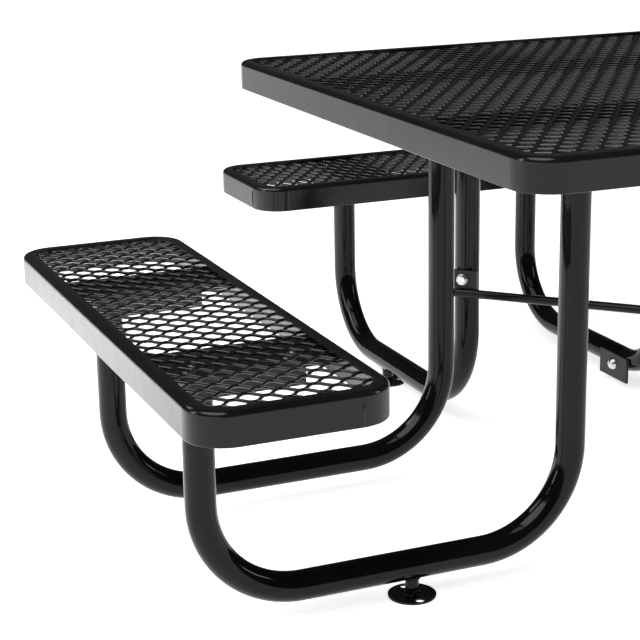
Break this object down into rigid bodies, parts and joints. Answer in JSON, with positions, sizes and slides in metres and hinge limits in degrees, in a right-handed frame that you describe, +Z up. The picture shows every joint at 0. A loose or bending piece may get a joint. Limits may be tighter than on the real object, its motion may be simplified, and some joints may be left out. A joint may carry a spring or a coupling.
{
  "type": "picnic table",
  "caption": "Outdoor picnic table with seats on its left, back and right and an open front, made of expanded-metal panels in rolled rims on bent steel tubes",
  "frame": {"origin": "on the floor, at the middle of the table's footprint", "axes": "+Z up, +X to the right of a person at the open front side, +Y from the open front side to the back seat"},
  "size_m": [2.198, 1.677, 0.762],
  "materials": {
    "rim_coating": "thick satin black coating over formed steel",
    "mesh_coating": "thick satin black coating over expanded steel",
    "tube_coating": "gloss black powder coat",
    "plate_coating": "satin black powder coat",
    "zinc_fasteners": "bright zinc plate"
  },
  "bodies": {
    "root": {"back_foot_disc": "plate_coating", "back_left_tube": "tube_coating", "back_right_tube": "tube_coating", "back_seat_left_bracket": "plate_coating", "back_seat_left_plate": "plate_coating", "back_seat_mesh": "mesh_coating", "back_seat_right_bracket": "plate_coating", "back_seat_right_plate": "plate_coating", "back_seat_rim": "rim_coating", "back_top_left_bracket": "plate_coating", "back_top_right_bracket": "plate_coating", "brace_bolts": "zinc_fasteners", "brace_nuts": "zinc_fasteners", "brace_rod": "plate_coating", "brace_tab_back_left": "plate_coating", "brace_tab_front_right": "plate_coating", "brace_washers": "zinc_fasteners", "left_foot_disc": "plate_coating", "left_front_tube": "tube_coating", "left_rear_tube": "tube_coating", "left_seat_front_bracket": "plate_coating", "left_seat_front_plate": "plate_coating", "left_seat_mesh": "mesh_coating", "left_seat_rear_bracket": "plate_coating", "left_seat_rear_plate": "plate_coating", "left_seat_rim": "rim_coating", "left_top_front_bracket": "plate_coating", "left_top_rear_bracket": "plate_coating", "right_foot_disc": "plate_coating", "right_front_tube": "tube_coating", "right_rear_tube": "tube_coating", "right_seat_front_bracket": "plate_coating", "right_seat_front_plate": "plate_coating", "right_seat_mesh": "mesh_coating", "right_seat_rear_bracket": "plate_coating", "right_seat_rear_plate": "plate_coating", "right_seat_rim": "rim_coating", "right_top_front_bracket": "plate_coating", "right_top_rear_bracket": "plate_coating", "seat_bolts": "zinc_fasteners", "seat_nuts": "zinc_fasteners", "seat_washers": "zinc_fasteners", "side_plate": "plate_coating", "side_plate_bolt": "zinc_fasteners", "side_plate_nut": "zinc_fasteners", "tabletop_back_left_channel": "plate_coating", "tabletop_back_right_channel": "plate_coating", "tabletop_bolts": "zinc_fasteners", "tabletop_front_channel": "plate_coating", "tabletop_mesh": "mesh_coating", "tabletop_nuts": "zinc_fasteners", "tabletop_rear_channel": "plate_coating", "tabletop_rim": "rim_coating", "tabletop_washers": "zinc_fasteners"}
  },
  "joints": []
}
